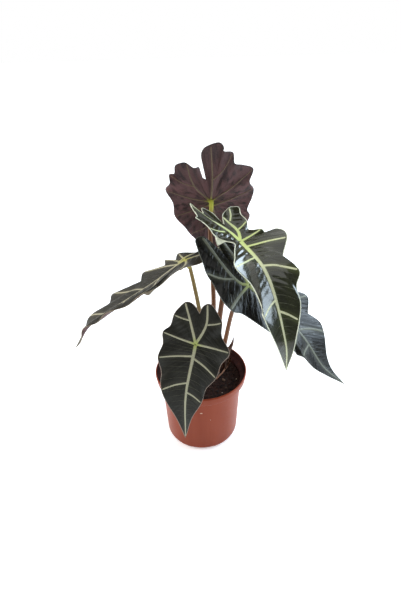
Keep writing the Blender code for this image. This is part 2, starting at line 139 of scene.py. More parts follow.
# Each leaf has the points of its midrib (rear lobes, stalk joint, ..., tip), the way its upper
# face looks at each of them, and how far each half folds up, in degrees (left, right).
# left and right list the corners of the margin from the notch to the tip, as (s, t, kind). The
# kinds "round" and "dip" only shape the margin. The others are ends of veins: "lobe" of a lobe
# vein, "fork" of its branch, a number of a vein that leaves the midrib at that s, and a pair of
# one that starts at that point. forks are the points where the two lobe veins split, and valley
# is how far the margin draws in between two veins, as a share of their distance.
# stalk lists the points of the stalk from the corm up, and widths its radii at both ends. ribs
# has the width of the midrib and that of the other veins at the margin, and rim the radius of
# the bead. glow is how far the bright heart spreads along the ribs, quilt how deep the folds
# between the veins are, and radial says that the folds fan out from the stalk joint.
LEAVES = {
    "front": {
        "rib": ((3, -36, 233), (-5, -58, 185), (-17.5, -83, 133), (-20, -97, 79)),
        "face": ((0, -0.8, 0.6), (0, -0.85, 0.5), (0.05, -0.9, 0.45), (0.05, -0.9, 0.4)),
        "fold": (0, 0),
        "notch": -35,
        "valley": 0.06,
        "left": (
            (-43, -3, "round"), (-47, -8, "lobe"), (-45, -14, "round"), (-36, -21, "round"),
            (-28, -26, "fork"), (-12, -28, "dip"), (3, -39, 0), (33, -30, 16), (68, -18, 56),
        ),
        "right": (
            (-42, 5, "round"), (-46, 11, "round"), (-46, 17, "lobe"), (-38, 24, "round"),
            (-31, 28, "fork"), (-17, 31, "dip"), (-9, 38, 0), (23, 38.5, 14), (56, 28, 45),
            (86, 11, "round"),
        ),
        "forks": ((-23, -9), (-26, 9.5)),
        "tip": 115,
        "stalk": ((8, -3), (7, -14, 140), (2, -34, 178)),
        "widths": (3.4, 2.2),
        "ribs": (4.5, 1.9),
        "rim": 0.45,
        "glow": 6.0,
        "quilt": 0.22,
        "radial": False,
    },
    "left": {
        "rib": (
            (23, 28, 265), (-14, 0, 262), (-54, -18, 241), (-101, -39, 220), (-126, -46, 204),
            (-143, -50, 178),
        ),
        "face": (
            (0, 0.26, 1), (0, 0.26, 1), (-0.3, 0.26, 1), (-0.4, 0.26, 0.9), (-0.6, 0.2, 0.8),
            (-0.9, 0, 0.5),
        ),
        "fold": (4, 8),
        "notch": -26,
        "valley": 0.08,
        "left": (
            (-36, -4, "round"), (-42, -13, "lobe"), (-24, -28, "fork"), (16, -38, 0),
            (42, -29, "dip"), (66, -40, 36), (84, -30, "dip"), (104, -27, 78), (134, -12, 112),
        ),
        "right": (
            (-36, 4, "round"), (-37, 9, "lobe"), (-24, 11, "dip"), (-2, 19, 0), (7, 20, "dip"),
            (17, 30, "fork"), (25, 28, "dip"), (46, 45, 10), (60, 31, "dip"), (91, 43, 58),
            (104, 34, "dip"), (134, 24, 106),
        ),
        "forks": ((-20, -8), (6, 5)),
        "tip": 166,
        "stalk": ((5, 10), (4, 9, 150), (-1, 6, 198), (-9, 1, 250)),
        "widths": (3.4, 2.2),
        "ribs": (5.4, 2.6),
        "rim": 0.42,
        "glow": 9.0,
        "quilt": 0.2,
        "radial": False,
    },
    "back": {
        "rib": ((6, 20, 372), (17, 38, 318), (30, 47, 268), (48, 38, 226), (60, 18, 196)),
        "face": ((0, 1, 0.3), (0, 1, 0.2), (0, 1, 0.1), (0, 1, 0), (0, 1, -0.3)),
        "fold": (0, 0),
        "notch": -29,
        "valley": 0.13,
        "left": (
            (-34, -4, "round"), (-45, -4.5, "round"), (-48, -10, "dip"), (-53, -17, "lobe"),
            (-55, -23, "round"), (-53, -29, "round"), (-46, -31.5, "dip"), (-43, -38, "fork"),
            (-35, -39.5, "dip"), (-25, -47, 0), (-10, -42.5, "dip"), (10, -46, 4),
            (24, -38, "dip"), (37, -35, 30), (72, -24, 58), (104, -10, 88),
        ),
        "right": (
            (-46, 0.5, "round"), (-59, 1, "round"), (-66, 5, "round"), (-68, 13, "lobe"),
            (-69, 22, "round"), (-64, 25.5, "round"), (-60, 25, "dip"), (-54, 34, "fork"),
            (-44, 34, "dip"), (-38, 43, "round"), (-30, 53, 0), (-17, 47, "dip"), (-3, 50.5, 6),
            (7, 47, "round"), (20, 39, "dip"), (34, 40, 26), (70, 26, 56), (104, 11, 88),
        ),
        "forks": ((-24, -14), (-27, 7)),
        "tip": 138,
        "stalk": ((12, 14.5), (18, 18, 174), (18, 26, 221), (15.5, 33, 280)),
        "widths": (3.6, 2.4),
        "ribs": (3.6, 1.2),
        "rim": 0.42,
        "glow": 4.5,
        "quilt": 0.45,
        "radial": True,
    },
    "right": {
        "rib": ((8, 24, 320), (45, -33, 297), (66, -84, 283), (80, -120, 234), (84, -122, 197)),
        "face": (
            (0.2, -0.3, 1), (0, -0.4, 1), (0.1, -0.7, 0.8), (0.2, -0.9, 0.5), (0.2, -1, 0.1),
        ),
        "fold": (18, 18),
        "notch": -31,
        "valley": 0.05,
        "left": (
            (-40, -4, "lobe"), (-45, -10, "round"), (-46, -17, (-30, -7)), (-45, -22, "round"),
            (-40, -26, "round"), (-30, -21.5, "round"), (-17, -19.5, "fork"), (-9, -17, "dip"),
            (3, -24, 0), (8, -27, "dip"), (12, -35, "round"), (21, -40, "round"), (32, -36, 10),
            (42, -25.5, "dip"), (50, -23, "round"), (64, -28.5, 45), (75, -23, "dip"),
            (91, -21, "round"), (106, -15.5, 93), (127, -8, "round"),
        ),
        "right": (
            (-40, 1, "round"), (-54, 2, "round"), (-62, 9, "round"), (-56, 12, "dip"),
            (-67, 23, "lobe"), (-52, 23, "dip"), (-45, 30, "round"), (-37, 25.5, "round"),
            (-26, 25, (-19, 7)), (-14, 24, "round"), (-6, 12, "dip"), (3, 9, "round"),
            (15, 15.5, "round"), (30, 22.5, "round"), (47, 30, 31), (62, 20.5, "dip"),
            (86, 17.5, "round"), (97, 18.5, 82), (126, 10, "round"),
        ),
        "forks": ((-15, -6), (-26, 4)),
        "tip": 157,
        "stalk": ((14, 2), (24, 4, 169), (32.5, 7, 226), (46, 5, 261), (57, -5, 280)),
        "widths": (4.0, 2.5),
        "ribs": (5.6, 2.3),
        "rim": 0.55,
        "glow": 30.0,
        "quilt": 0.45,
        "radial": False,
    },
    "side": {
        "rib": ((16, -3, 289), (54, -44, 251), (107, -67, 205), (134, -82, 168), (159, -86, 146)),
        "face": (
            (0.1, -0.4, 1), (0, -0.3, 1), (0.3, -0.4, 1), (0.5, -0.5, 0.8), (0.6, -0.4, 0.8),
        ),
        "fold": (0, 0),
        "notch": -46,
        "valley": 0.08,
        "left": (
            (-60, -2, "round"), (-68, -8, "lobe"), (-69, -15, "round"), (-58, -20, "round"),
            (-46, -19, "dip"), (-12, -37, "fork"), (22, -42, 6), (62, -48, 38),
            (74, -31.5, "dip"), (85, -35, "round"), (95, -29, 72), (116, -17, "round"),
            (137, -5, "round"),
        ),
        "right": (
            (-68, 5, "round"), (-74, 10, "lobe"), (-75, 17, "round"), (-67, 21.5, "round"),
            (-46, 26, "dip"), (-33, 32, "fork"), (-20, 31.5, "dip"), (5, 40, 0),
            (16, 31, "dip"), (43, 31, 26), (84, 25, 72), (96, 19, 92), (112, 13.5, "round"),
            (130, 6, "round"),
        ),
        "forks": ((-28, -8), (-14, 8)),
        "tip": 156,
        "stalk": ((21, 5.5), (31, -2, 141), (39.5, -20, 205)),
        "widths": (3.4, 2.2),
        "ribs": (5.2, 3.2),
        "rim": 0.45,
        "glow": 10.0,
        "quilt": 0.3,
        "radial": False,
    },
}
SHEATH = ((31, 13, 90.5), (33, 12, 108), (38, 9, 125), (42, 8, 136), (44, 8, 146))
DEAD_STALK = ((20, -11, 91.8), (31, 5, 91.4), (39, 21, 91), (43, 31, 93.6))

# Upper skins: dark, light, coat, roughness, specular level, pucker strength, halo sharpness
UPPER_LOOKS = {
    "front": ((0.0125, 0.0125, 0.009), (0.085, 0.083, 0.06), 0.0, 0.5, 0.35, 0.5, 0.7),
    "left": ((0.014, 0.013, 0.008), (0.13, 0.112, 0.072), 0.05, 0.42, 0.25, 0.5, 0.6),
    "back": ((0.011, 0.0145, 0.0065), (0.1, 0.115, 0.06), 0.12, 0.42, 0.25, 0.5, 0.7),
    "right": ((0.011, 0.0125, 0.004), (0.11, 0.13, 0.05), 1.0, 0.34, 0.2, 1.0, 0.5),
    "side": ((0.0025, 0.0025, 0.002), (0.085, 0.09, 0.068), 0.16, 0.3, 0.18, 1.0, 0.3),
}
# Ribs: the colour along them, and that at the stalk joint. A hairline is HAIRLINE_TONE and
# HAIRLINE_HEART times as bright.
RIB_LOOKS = {
    "front": ((0.48, 0.47, 0.32), (0.4, 0.46, 0.12)),
    "left": ((0.44, 0.41, 0.27), (0.48, 0.46, 0.09)),
    "back": ((0.42, 0.46, 0.27), (0.5, 0.58, 0.14)),
    "right": ((0.74, 0.77, 0.5), (0.76, 0.9, 0.32)),
    "side": ((0.17, 0.18, 0.135), (0.3, 0.34, 0.1)),
}
HAIRLINE_TONE = 0.16
HAIRLINE_HEART = 0.3
RIM_LOOKS = {
    "front": (0.3, 0.23, 0.18),
    "left": (0.24, 0.19, 0.12),
    "back": (0.02, 0.012, 0.012),
    "right": (0.84, 0.87, 0.68),
    "side": (0.09, 0.1, 0.075),
}


# ---------------------------------------------------------------- shader building


class Socket:
    """A shader output that takes part in arithmetic."""

    def __init__(self, look, output):
        self.look = look
        self.output = output

    def __add__(self, other):
        return self.look.sum_of("ADD", self, other)

    def __sub__(self, other):
        return self.look.sum_of("SUBTRACT", self, other)

    def __rsub__(self, other):
        return self.look.sum_of("SUBTRACT", other, self)

    def __mul__(self, other):
        return self.look.sum_of("MULTIPLY", self, other)

    def __pow__(self, other):
        return self.look.sum_of("POWER", self, other)

    __radd__ = __add__
    __rmul__ = __mul__


class Look:
    """A material under construction, around one Principled shader."""

    def __init__(self, name, **fixed):
        self.material = bpy.data.materials.new(name)
        self.material.use_nodes = True
        self.tree = self.material.node_tree
        self.shader = self.tree.nodes["Principled BSDF"]
        for socket, value in fixed.items():
            self.shader.inputs[socket.replace("_", " ")].default_value = value

    def node(self, kind, settings=None, **sockets):
        """Adds a node. Settings are its own properties, and sockets are values or links."""
        made = self.tree.nodes.new("ShaderNode" + kind)
        for key, value in (settings or {}).items():
            if key == "stops":
                self.set_stops(made.color_ramp, value)
            else:
                setattr(made, key, value)
        for key, value in sockets.items():
            socket = made.inputs[int(key[1:])] if key[0] == "n" else made.inputs[key]
            self.feed(socket, value)
        return made

    def feed(self, socket, value):
        if isinstance(value, Socket):
            self.tree.links.new(value.output, socket)
        else:
            socket.default_value = value

    def set_stops(self, ramp, stops):
        while len(ramp.elements) < len(stops):
            ramp.elements.new(0.5)
        for element, (place, colour) in zip(ramp.elements, stops):
            element.position = place
            element.color = (*colour, 1)

    def sum_of(self, operation, a, b):
        return Socket(self, self.node("Math", {"operation": operation}, n0=a, n1=b).outputs[0])

    def place(self):
        """Object coordinates, in millimetres."""
        raw = Socket(self, self.node("TexCoord").outputs["Object"])
        scaled = self.node("VectorMath", {"operation": "SCALE"}, n0=raw, Scale=1000.0)
        return Socket(self, scaled.outputs[0])

    def stretched(self, vector, factors):
        made = self.node("VectorMath", {"operation": "MULTIPLY"}, n0=vector, n1=factors)
        return Socket(self, made.outputs[0])

    def attribute(self, name, output="Fac"):
        made = self.node("Attribute", {"attribute_name": name})
        return Socket(self, made.outputs[output])

    def cloud(self, vector, size, detail=2.0, roughness=0.5):
        """Soft noise from 0 to 1 whose blotches are about size millimetres across."""
        made = self.node(
            "TexNoise", None, Vector=vector, Scale=1.0 / size, Detail=detail, Roughness=roughness
        )
        return Socket(self, made.outputs["Fac"])

    def net(self, vector, size, width):
        """A net of fine lines between cells that are about size millimetres across."""
        feature = {"feature": "DISTANCE_TO_EDGE"}
        made = self.node("TexVoronoi", feature, Vector=vector, Scale=1.0 / size)
        return self.between(Socket(self, made.outputs["Distance"]), 0.0, width, 1.0, 0.0)

    def between(self, value, low, high, start=0.0, end=1.0):
        """value from low to high, turned to start to end and kept inside."""
        made = self.node("MapRange", None, n0=value, n1=low, n2=high, n3=start, n4=end)
        return Socket(self, made.outputs[0])

    def mix(self, factor, a, b):
        made = self.node("Mix", {"data_type": "RGBA"}, n0=factor)
        self.feed(made.inputs[6], a if isinstance(a, Socket) else (*a, 1))
        self.feed(made.inputs[7], b if isinstance(b, Socket) else (*b, 1))
        return Socket(self, made.outputs[2])

    def bump(self, height, strength, distance, below=None):
        made = self.node("Bump", None, Strength=strength, Distance=distance, Height=height)
        if below is not None:
            self.feed(made.inputs["Normal"], below)
        return Socket(self, made.outputs[0])

    def finish(self, colour, roughness=None, normal=None):
        self.feed(self.shader.inputs["Base Color"], colour)
        if roughness is not None:
            self.feed(self.shader.inputs["Roughness"], roughness)
        if normal is not None:
            self.feed(self.shader.inputs["Normal"], normal)
        return self.material


def leaf_upper(name, dark, light, gloss, rough, shine, pucker, halo):
    """Dark upper skin of a blade: paler beside the veins, finely netted and puckered."""
    look = Look(name, Coat_Weight=gloss, Coat_Roughness=0.1, IOR=1.4, Specular_IOR_Level=shine)
    place = look.place()
    drift = look.attribute("drift", "Vector")
    near_vein = look.attribute("near_vein")
    tone = look.cloud(place, 18.0, 3.0)
    colour = look.mix(look.between(tone, 0.35, 0.7), dark, [c * 1.7 for c in dark])
    arcs = look.cloud(drift, 2.2, 2.0)
    colour = look.mix(look.between(arcs, 0.5, 0.75, 0.0, 0.12), colour, light)
    net = look.net(place, 2.6, 0.09)
    colour = look.mix(net * 0.08, colour, light)
    colour = look.mix(near_vein**halo * 0.5, colour, light)
    fine = look.cloud(place, 0.5, 2.0)
    shape = look.bump(fine * 0.25 + net * -0.35, 0.35, 0.0003)
    shape = look.bump(look.cloud(drift, 3.4, 1.5), pucker, 0.0016, shape)
    roughness = look.between(look.cloud(place, 7.0, 3.0), 0.3, 0.7, rough - 0.07, rough + 0.09)
    return look.finish(colour, roughness, shape)


def leaf_under(name, dark, light):
    """Maroon lower skin of a blade: dark blotches, a paler net, and painted shade that darkens it
    high up.
    """
    look = Look(name, IOR=1.4)
    place = look.place()
    drift = look.attribute("drift", "Vector")
    tone = look.cloud(place, 14.0, 4.0)
    colour = look.mix(look.between(tone, 0.3, 0.7), [c * 0.7 for c in light], light)
    blotch = look.cloud(drift, 2.1, 3.0)
    colour = look.mix(look.between(blotch, 0.46, 0.6, 0.0, 0.85), colour, dark)
    above = Socket(look, look.node("SeparateXYZ", None, Vector=place).outputs["Z"])
    # Painted shade: the underside darkens between these heights, which only the back leaf's upper
    # lobe reaches.
    colour = look.mix(look.between(above, *PAINTED_SHADE_HEIGHTS, 0.0, 0.6), colour, dark)
    colour = look.mix(look.attribute("near_vein") * 0.3, colour, [c * 1.35 for c in light])
    net = look.net(place, 2.2, 0.12)
    colour = look.mix(net * 0.16, colour, [c * 1.6 for c in light])
    fine = look.cloud(place, 0.6, 2.0)
    shape = look.bump(fine * 0.3 + net * 0.4, 0.3, 0.0003)
    shape = look.bump(blotch, 0.5, 0.0016, shape)
    return look.finish(colour, look.between(tone, 0.3, 0.7, 0.45, 0.56), shape)


def vein_skin(name, pale, deep, rough):
    """Smooth ribs of a leaf, brighter where they meet at the stalk."""
    look = Look(name, IOR=1.4)
    place = look.place()
    grain = look.cloud(place, 1.6, 3.0)
    colour = look.mix(look.between(grain, 0.3, 0.75), pale, [c * 0.82 for c in pale])
    colour = look.mix(look.attribute("heart"), colour, deep)
    shape = look.bump(look.cloud(place, 0.5, 2.0), 0.2, 0.0002)
    return look.finish(colour, look.between(grain, 0.3, 0.7, rough - 0.06, rough + 0.06), shape)


def stalk_skin(name, low, high, top):
    """Fleshy stalk with fine streaks along it and small darker dashes."""
    look = Look(name, IOR=1.4, Coat_Weight=0.08, Coat_Roughness=0.3, Specular_IOR_Level=0.3)
    route = look.attribute("route", "Vector")
    streaks = look.cloud(look.stretched(route, (14.0, 0.35, 1.0)), 1.0, 3.0)
    dashes = look.cloud(look.stretched(route, (9.0, 1.6, 1.0)), 1.0, 1.0)
    height = look.attribute("height")
    colour = look.mix(look.between(height, 0.05, 0.75), low, high)
    colour = look.mix(look.between(height, 0.91, 0.955), colour, top)
    colour = look.mix(look.between(streaks, 0.35, 0.75, 0.0, 0.5), colour, [c * 1.7 for c in high])
    colour = look.mix(look.between(dashes, 0.62, 0.72, 0.0, 0.45), colour, [c * 0.3 for c in low])
    shape = look.bump(streaks, 0.3, 0.0004)
    return look.finish(colour, look.between(streaks, 0.2, 0.8, 0.38, 0.55), shape)


def withered(name, dark, light):
    """Dry, papery plant tissue with long fibres."""
    look = Look(name)
    route = look.attribute("route", "Vector")
    fibres = look.cloud(look.stretched(route, (10.0, 0.5, 1.0)), 1.0, 4.0)
    blotch = look.cloud(look.place(), 4.0, 3.0)
    colour = look.mix(look.between(fibres, 0.3, 0.7), dark, light)
    colour = look.mix(look.between(blotch, 0.5, 0.8, 0.0, 0.6), colour, [c * 0.4 for c in dark])
    return look.finish(colour, 0.82, look.bump(fibres, 0.7, 0.0006))


def speck(look, place, centre, spread, radius):
    """A ragged spot round centre, reaching further along axes whose spread is below 1."""
    goal = [c * f for c, f in zip(centre, spread)]
    gap = look.node(
        "VectorMath", {"operation": "DISTANCE"}, n0=look.stretched(place, spread), n1=goal
    )
    ragged = Socket(look, gap.outputs["Value"]) + look.cloud(place, 0.9, 2.0) * 0.9
    return look.between(ragged, radius + 0.35, radius + 0.55, 1.0, 0.0)


def pot_plastic():
    """Moulded terracotta-coloured plastic, satin outside, with painted shade on its inner wall."""
    look = Look("pot_plastic", IOR=1.46, Specular_IOR_Level=0.18)
    place = look.place()
    flow = look.cloud(look.stretched(place, (1.0, 1.0, 0.12)), 9.0, 3.0)
    clay = (0.238, 0.037, 0.010)
    colour = look.mix(look.between(flow, 0.3, 0.7), clay, (0.265, 0.045, 0.014))
    dust = look.between(look.cloud(place, 1.3, 4.0, 0.7), 0.66, 0.82, 0.0, 0.35)
    colour = look.mix(dust, colour, (0.42, 0.2, 0.14))
    # Painted shade: inside the pot the plastic is darkened almost to black, with slight patches,
    # and made rougher there.
    patches = look.between(look.cloud(place, 5.0, 3.0), 0.2, 0.6, 0.88, 1.0)
    inside_painted_shade = look.attribute("inside") * patches
    colour = look.mix(inside_painted_shade, colour, (0.022, 0.005, 0.004))
    fleck = speck(look, place, (-1.2, -52.6, 71.5), (0.3, 0.05, 1.0), 0.5)
    fleck += speck(look, place, (10.8, -50.8, 57.4), (1.0, 0.05, 1.0), 0.35)
    colour = look.mix(fleck, colour, (0.75, 0.6, 0.45))
    skin = look.cloud(place, 0.7, 2.0)
    scuffs = look.cloud(look.stretched(place, (0.4, 0.4, 3.0)), 2.0, 3.0)
    shape = look.bump(skin * 0.5 + scuffs * 0.3, 0.2, 0.0002)
    roughness = look.between(scuffs, 0.3, 0.7, 0.34, 0.46) + inside_painted_shade * 0.4
    return look.finish(colour, roughness, shape)


def peat():
    """Moist black-brown peat."""
    look = Look("peat", IOR=1.4, Specular_IOR_Level=0.15)
    place = look.place()
    lumps = look.cloud(place, 3.5, 5.0, 0.65)
    wet, dry = (0.007, 0.003, 0.0025), (0.042, 0.017, 0.011)
    colour = look.mix(look.between(lumps, 0.35, 0.7), wet, dry)
    fibre = look.cloud(place, 0.7, 4.0, 0.7)
    shape = look.bump(fibre, 0.9, 0.0012)
    return look.finish(colour, look.between(fibre, 0.3, 0.7, 0.7, 0.95), shape)


def crumb_skin():
    """Peat crumbs, bark and mineral grains: each lump carries its own shade."""
    look = Look("crumbs", Specular_IOR_Level=0.2)
    place = look.place()
    shade = look.attribute("shade")
    grain = look.cloud(place, 0.8, 4.0, 0.7)
    stops = (
        (0.0, (0.006, 0.0035, 0.003)),
        (0.55, (0.035, 0.017, 0.011)),
        (0.8, (0.12, 0.065, 0.035)),
        (0.95, (0.5, 0.42, 0.34)),
    )
    ramp = look.node("ValToRGB", {"stops": stops}, Fac=shade)
    tone = Socket(look, ramp.outputs[0])
    colour = look.mix(look.between(grain, 0.35, 0.75, 0.0, 0.55), tone, (0.012, 0.007, 0.006))
    return look.finish(colour, 0.85, look.bump(grain, 0.8, 0.0008))


def corm_bark():
    """Brown corky skin with rings of old leaf scars."""
    look = Look("corm_bark")
    place = look.place()
    rings = look.cloud(look.stretched(place, (0.3, 0.3, 2.2)), 2.0, 4.0)
    colour = look.mix(look.between(rings, 0.3, 0.7), (0.035, 0.018, 0.01), (0.15, 0.085, 0.045))
    return look.finish(colour, 0.8, look.bump(rings, 0.8, 0.0012))


# ---------------------------------------------------------------- mesh helpers


def smooth(points, steps):
    """Points of the Catmull-Rom curve through the given ones."""
    knots = np.array(points, float)
    knots = np.vstack([2 * knots[0] - knots[1], knots, 2 * knots[-1] - knots[-2]])
    curve = []
    u = np.arange(steps)[:, None] / steps
    for a, b, c, d in zip(knots, knots[1:], knots[2:], knots[3:]):
        bend = 2 * a - 5 * b + 4 * c - d
        twist = 3 * b - a - 3 * c + d
        curve.append(b + 0.5 * (u * (c - a) + u**2 * bend + u**3 * twist))
    curve.append(knots[-2:-1])
    return np.vstack(curve)


def strides(path):
    """The distances between a path's neighbouring points."""
    return np.linalg.norm(np.diff(path, axis=0), axis=1)


def sampled(places, knots, path):
    """Points read off a path at new places, where knots are its own points' places."""
    return np.stack([np.interp(places, knots, column) for column in path.T], -1)


def unit(vectors):
    return vectors / np.linalg.norm(vectors, axis=-1, keepdims=True)


def ease(x):
    """0 to 1 with level ends."""
    x = np.clip(x, 0, 1)
    return x * x * (3 - 2 * x)


def fresh_mesh(*values, vectors=()):
    """An empty mesh whose points carry the named numbers and vectors for their material."""
    mesh = bmesh.new()
    for key in values:
        mesh.verts.layers.float.new(key)
    for key in vectors:
        mesh.verts.layers.float_vector.new(key)
    return mesh


def lay_grid(mesh, across, along, place, slot=0):
    """Adds a grid and moves its points to place(u, v), which also gives their attributes."""
    made = bmesh.ops.create_grid(mesh, x_segments=across, y_segments=along, size=0.5)["verts"]
    u = np.array([vert.co.x for vert in made]) + 0.5
    v = np.array([vert.co.y for vert in made]) + 0.5
    points, values = place(u, v)
    for vert, point in zip(made, points):
        vert.co = point
    for key, numbers in values.items():
        kinds = mesh.verts.layers
        layer = (kinds.float_vector if np.ndim(numbers) == 2 else kinds.float)[key]
        for vert, number in zip(made, numbers):
            vert[layer] = number
    for face in {face for vert in made for face in vert.link_faces}:
        face.material_index = slot
    return made


def tube_points(path, radii, u, v, end=None):
    """Places on a round bar along path, u round it and v along it. end turns its last ring."""
    steps = len(path) - 1
    direction = unit(np.gradient(path, axis=0))
    if end is not None:
        turn = ease((np.arange(steps + 1) / steps - (1 - END_TURN)) / END_TURN)[:, None]
        direction = unit(direction * (1 - turn) + np.array(end) * turn)
    sides = [np.array((1.0, 0.0, 0.0))]
    for way in direction:
        side = sides[-1] - way * sides[-1].dot(way)
        sides.append(side / np.linalg.norm(side))
    sides = np.array(sides[1:])
    others = np.cross(direction, sides)
    row = np.rint(v * steps).astype(int)
    angle = (2 * math.pi * u)[:, None]
    radius = radii(row / steps, u)[:, None]
    return path[row] + (sides[row] * np.cos(angle) + others[row] * np.sin(angle)) * radius


def bar(path, length, radii, sides, end=None):
    """A closed round bar along path. Its points carry their route round and along it."""

    def place(u, v):
        turn = 2 * math.pi * u
        route = np.stack([np.cos(turn), v * length, np.sin(turn)], -1)
        return tube_points(path, radii, u, v, end), {"route": route, "height": v}

    mesh = fresh_mesh("height", vectors=("route",))
    lay_grid(mesh, sides, len(path) - 1, place)
    bmesh.ops.remove_doubles(mesh, verts=mesh.verts, dist=WELD)
    bmesh.ops.holes_fill(mesh, edges=mesh.edges, sides=0)
    return mesh


def add_object(name, data):
    made = bpy.data.objects.new(name, data)
    bpy.context.scene.collection.objects.link(made)
    return made


def mesh_object(name, mesh, materials=()):
    """An object that takes over the mesh."""
    data = bpy.data.meshes.new(name)
    mesh.to_mesh(data)
    mesh.free()
    for material in materials:
        data.materials.append(material)
    return add_object(name, data)


def piece(name, mesh, materials, slot, *nodes, weld=True):
    """Turns a mesh in millimetres into a finished piece that stands for its CAD nodes."""
    if weld:
        bmesh.ops.remove_doubles(mesh, verts=mesh.verts, dist=WELD)
    bmesh.ops.recalc_face_normals(mesh, faces=mesh.faces)
    bmesh.ops.scale(mesh, vec=(MM, MM, MM), verts=mesh.verts)
    for face in mesh.faces:
        face.smooth = True
    made = mesh_object(name, mesh, materials)
    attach(made, "root")
    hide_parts(*nodes)


# ---------------------------------------------------------------- leaves


def vein_path(*points):
    """A vein's path through a few flat points."""
    return smooth(points, VEIN_STEPS)


class Leaf:
    """The shape of one leaf: its margin, veins and the curved surface they lie on."""

    def __init__(self, shape):
        self.shape = shape
        self.rib = smooth(shape["rib"], SPAN_STEPS)
        along = np.concatenate([[0], np.cumsum(strides(self.rib))])
        self.along = along - along[SPAN_STEPS]
        self.knots = np.arange(len(self.rib)) / SPAN_STEPS
        self.faces = np.array(shape["face"], float)
        right = self.margin("right", 1)
        left = self.margin("left", -1)
        self.edge = np.vstack([right, left[-2:0:-1]])
        angle = np.arctan2(self.edge[:, 1], self.edge[:, 0])
        order = np.argsort(angle)
        self.angles = angle[order]
        self.reaches = np.hypot(self.edge[:, 0], self.edge[:, 1])[order]
        self.waves = self.edge[:, 2][order]
        self.veins = self.main_veins()
        self.fine_veins = self.secondary_veins()
        ends = [(a, b) for path, _ in self.veins for a, b in zip(path[::2], path[2::2])]
        self.starts = np.array([a for a, _ in ends])
        self.stops = np.array([b for _, b in ends])

    def margin(self, side, sign):
        """The edge of one half from the notch to the tip, as (s, t, ruffle)."""
        shape = self.shape
        corners = [(shape["notch"], 0, 0)]
        bulge = False
        for s, t, kind in (*shape[side], (shape["tip"], 0, "tip")):
            if bulge and kind not in ("round", "dip"):
                start = Vector(corners[-1][:2])
                chord = Vector((s, t)) - start
                middle = start + chord / 2
                inward = Vector((-chord.y, chord.x))
                if inward.dot(middle) > 0:
                    inward = -inward
                middle += inward * (TIP_VALLEY if kind == "tip" else shape["valley"])
                corners.append((middle.x, middle.y, -1))
            bulge = kind not in ("round", "dip")
            corners.append((s, t, {"round": 0.3, "dip": -1, "tip": 0}.get(kind, 1)))
        edge = smooth(corners, EDGE_STEPS)
        inner = edge[1:-1, 1]
        edge[1:-1, 1] = np.where(inner * sign < SLIT, sign * SLIT, inner)
        return edge

    def main_veins(self):
        """Midrib, lobe veins, their forks and laterals, each with its widths at both ends."""
        shape = self.shape
        tip = shape["tip"]
        wide, narrow = shape["ribs"]
        veins = [(vein_path((0, 0), (tip * 0.5, 0), (tip - 1, 0)), (wide, 1.1))]
        for side, fork in zip(("left", "right"), shape["forks"]):
            for s, t, kind in shape[side]:
                if kind in ("round", "dip"):
                    continue
                s, t = s * VEIN_REACH, t * VEIN_REACH
                if kind == "lobe":
                    path = vein_path((0, 0), fork, (s, t))
                    widths = (wide * 0.8, narrow)
                elif kind == "fork" or isinstance(kind, tuple):
                    start = fork if kind == "fork" else kind
                    middle = (start[0] + 0.4 * (s - start[0]), start[1] + 0.55 * (t - start[1]))
                    path = vein_path(start, middle, (s, t))
                    widths = (wide * 0.45, narrow * 0.8)
                else:
                    path = vein_path((kind, 0), (kind + 0.42 * (s - kind), 0.5 * t), (s, t))
                    widths = (wide * 0.62 * (1 - 0.4 * kind / tip), narrow * 0.8)
                veins.append((path, widths))
        return veins

    def secondary_veins(self):
        """Fine veins that run between each two laterals."""
        shape = self.shape
        tip = shape["tip"]
        fine = []
        for side in ("left", "right"):
            rows = [(s, t, r) for s, t, r in shape[side] if isinstance(r, (int, float))]
            rows.append((tip * VEIN_REACH, 0.4 * np.sign(rows[0][1]), tip * FINE_REACH))
            for (s0, t0, r0), (s1, t1, r1) in zip(rows, rows[1:]):
                count = max(int(math.hypot(s1 - s0, t1 - t0) / VEIN_SPACING), 1)
                for k in range(1, count + 1):
                    f = k / (count + 1)
                    root = r0 + (r1 - r0) * f
                    angle = math.atan2(t0 + (t1 - t0) * f, s0 + (s1 - s0) * f)
                    reach = np.interp(angle, self.angles, self.reaches) * FINE_REACH
                    s, t = reach * math.cos(angle), reach * math.sin(angle)
                    bend = (root + 0.36 * (s - root), 0.5 * t)
                    fine.append((vein_path((root, 0), bend, (s, t)), FINE_WIDTHS))
        return fine

    def from_vein(self, s, t):
        """Distance from each flat point to the nearest main vein."""
        point = np.stack([s, t], -1)[:, None]
        span = self.stops - self.starts
        share = ((point - self.starts) * span).sum(-1) / (span * span).sum(-1)
        nearest = self.starts + span * np.clip(share, 0, 1)[..., None]
        return np.sqrt(((point - nearest) ** 2).sum(-1).min(1))

    def surface(self, s, t, lift=0.0):
        """Points in space for flat points (s, t), lift above the blade's middle."""
        inside = np.clip(s, self.along[0], self.along[-1])
        knot = np.interp(inside, self.along, self.knots)
        direction = unit(self.track(inside + 1.5) - self.track(inside - 1.5))
        point = self.track(inside) + direction * (s - inside)[:, None]
        low = np.minimum(knot.astype(int), len(self.faces) - 2)
        share = (knot - low)[:, None]
        upper = self.faces[low] * (1 - share) + self.faces[low + 1] * share
        upper = unit(upper - direction * (upper * direction).sum(-1, keepdims=True))
        across = np.cross(direction, upper)
        fold = np.radians(np.where(t < 0, *self.shape["fold"]))
        angle = np.arctan2(t, s)
        out = np.hypot(s, t) / np.interp(angle, self.angles, self.reaches)
        ruffle = RUFFLE * np.interp(angle, self.angles, self.waves) * out**3
        panel = 1 - np.exp(-((self.from_vein(s, t) / PANEL_EDGE) ** 2))
        inner = np.clip(1.6 * (1 - out), 0, 1)
        folds = np.sin(2 * math.pi * self.drift(s, t)[:, 0] / QUILT_PERIOD)
        swell = panel * inner * (PANEL_SWELL + self.shape["quilt"] * folds)
        keeled = np.sqrt(t**2 + KEEL**2) - KEEL
        height = keeled * np.sin(fold) + ruffle + swell + lift
        return point + across * (t * np.cos(fold))[:, None] + upper * height[:, None]

